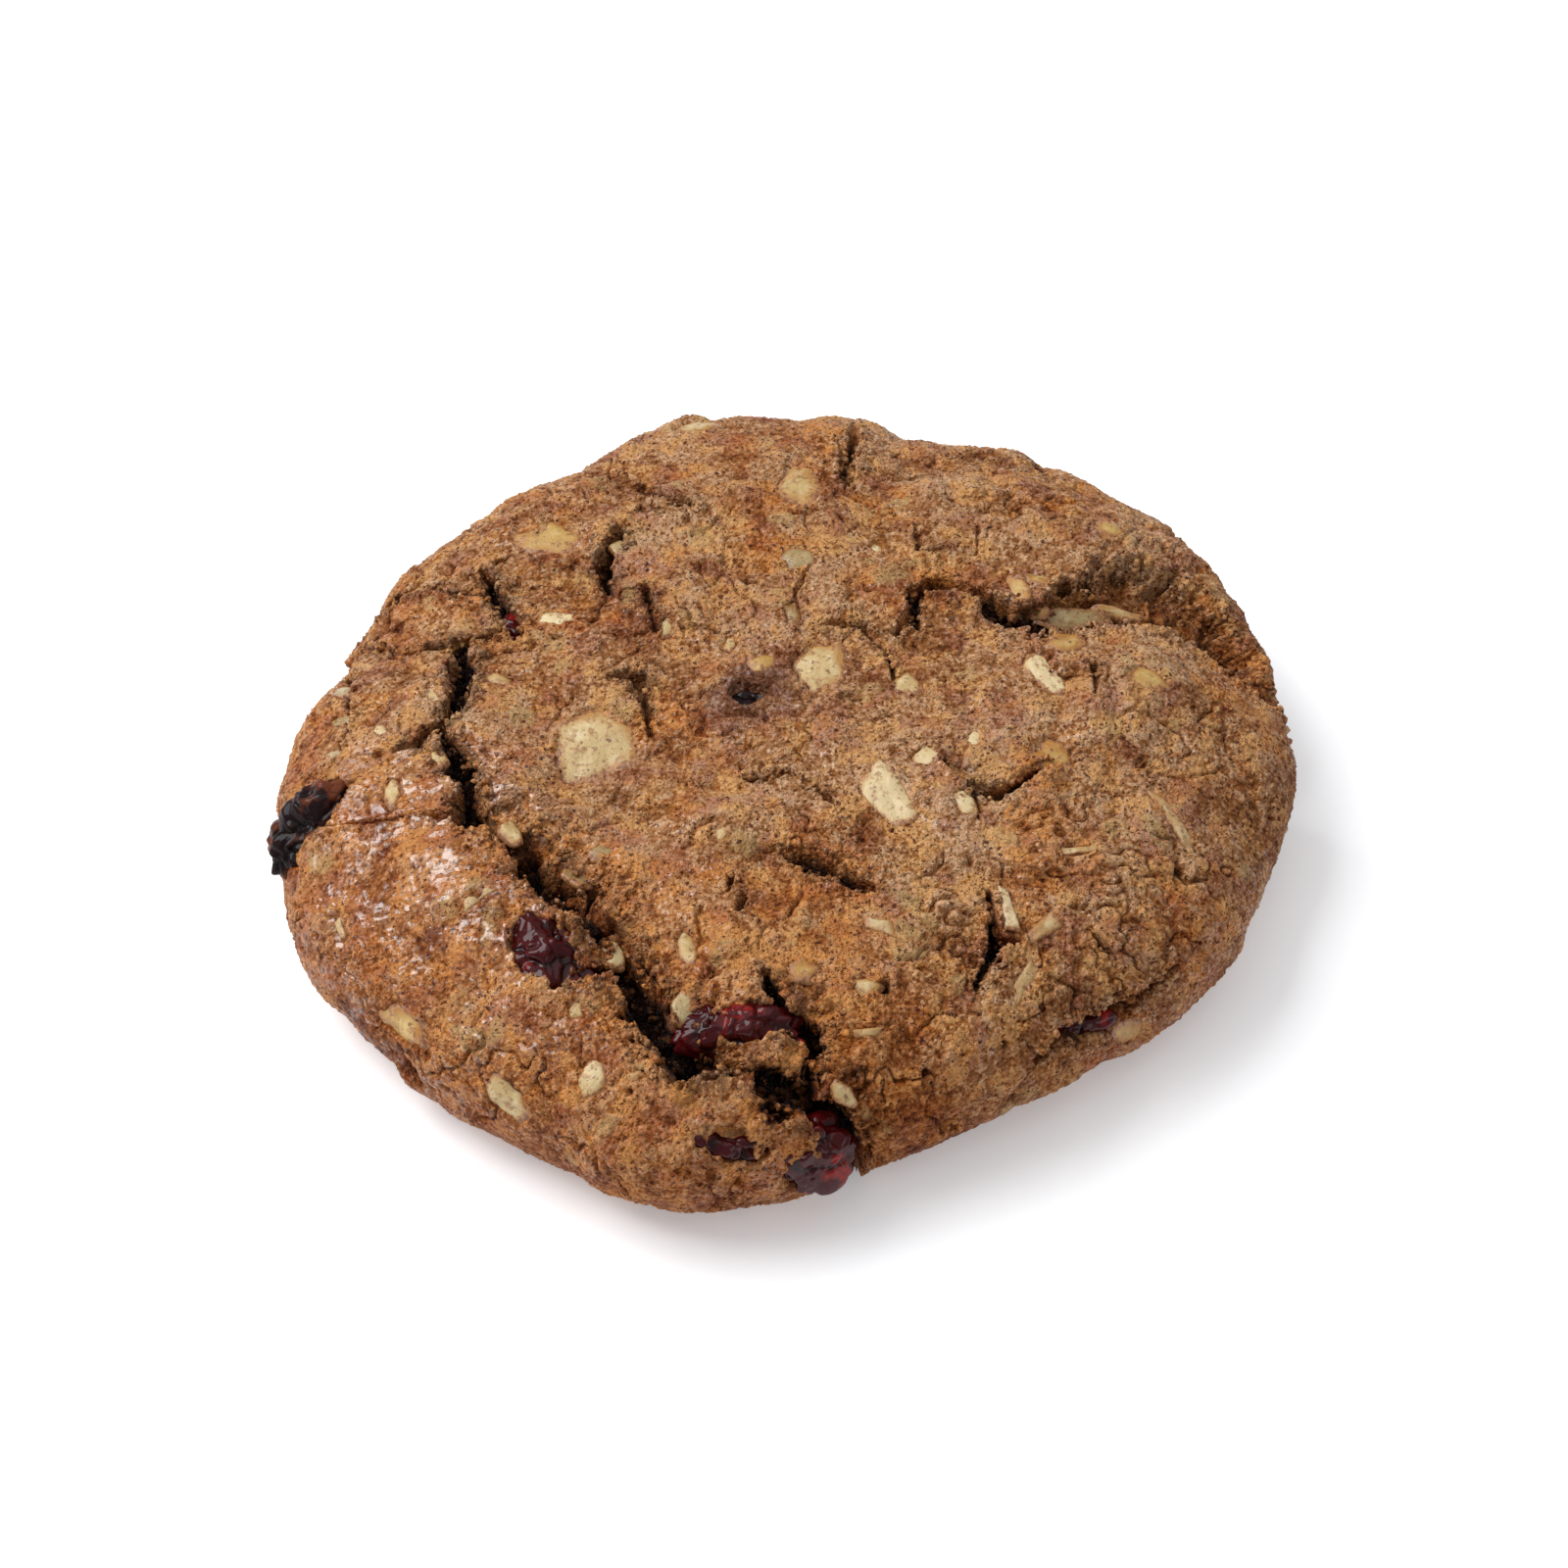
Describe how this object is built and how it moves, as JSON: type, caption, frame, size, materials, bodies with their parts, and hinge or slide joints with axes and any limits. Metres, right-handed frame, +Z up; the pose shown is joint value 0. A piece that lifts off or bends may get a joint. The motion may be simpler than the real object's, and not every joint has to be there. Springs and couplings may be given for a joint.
{
  "type": "oat and fruit cookie",
  "caption": "Thick round baked cookie with a cracked crust, rolled-oat flakes fused to it and dried fruit set in pockets; rests on its flat base.",
  "frame": {"origin": "centre of the box round the cookie, on the plane that the base rests on", "axes": "+Z up out of the base; the wide front of the long fissure faces -Y and the open cleft in the rim faces +X"},
  "size_m": [0.0894, 0.0878, 0.0195],
  "materials": {
    "dough": "matte baked crust",
    "raisin": "sticky wrinkled fruit",
    "cranberry": "wet wrinkled fruit"
  },
  "bodies": {
    "root": {"cookie": "dough", "raisin_rim": "raisin", "raisin_centre": "raisin", "cranberry_lobe": "cranberry", "cranberry_fissure": "cranberry", "cranberry_front": "cranberry", "cranberry_strip": "cranberry", "cranberry_back": "cranberry", "cranberry_notch": "cranberry"}
  },
  "joints": []
}
